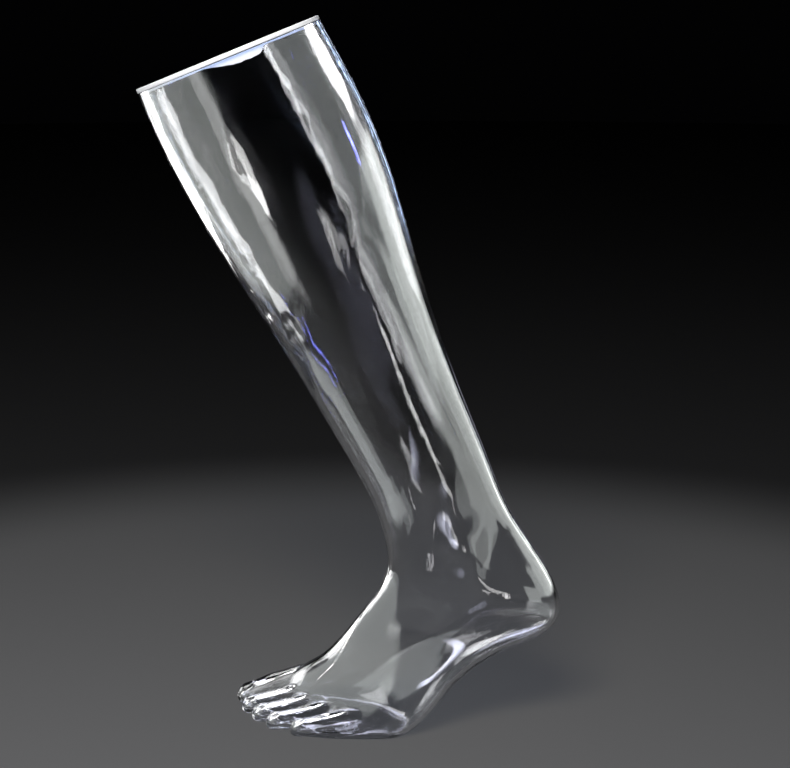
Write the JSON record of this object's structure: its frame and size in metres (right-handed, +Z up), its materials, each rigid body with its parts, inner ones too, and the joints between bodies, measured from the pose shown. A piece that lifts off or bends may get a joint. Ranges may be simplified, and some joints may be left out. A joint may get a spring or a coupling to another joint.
{
  "type": "hosiery display leg form",
  "caption": "Clear hollow lower leg and bare left foot for showing socks and stockings, standing on its forefoot with a raised heel and a slanted flat top.",
  "frame": {"origin": "under the middle of the whole form, in the plane of the flat standing face under the forefoot", "axes": "+Z up, -X towards the toes, -Y towards the little-toe side"},
  "size_m": [0.2812, 0.112, 0.4825],
  "materials": {
    "clear_shell": "clear high gloss, faint violet-blue where thick",
    "clear_plate": "clear high gloss, flat",
    "clear_cement": "clear, slightly uneven"
  },
  "bodies": {
    "root": {"lateral_shell_half": "clear_shell", "medial_shell_half": "clear_shell", "end_plate": "clear_plate", "plate_bond": "clear_cement"}
  },
  "joints": []
}
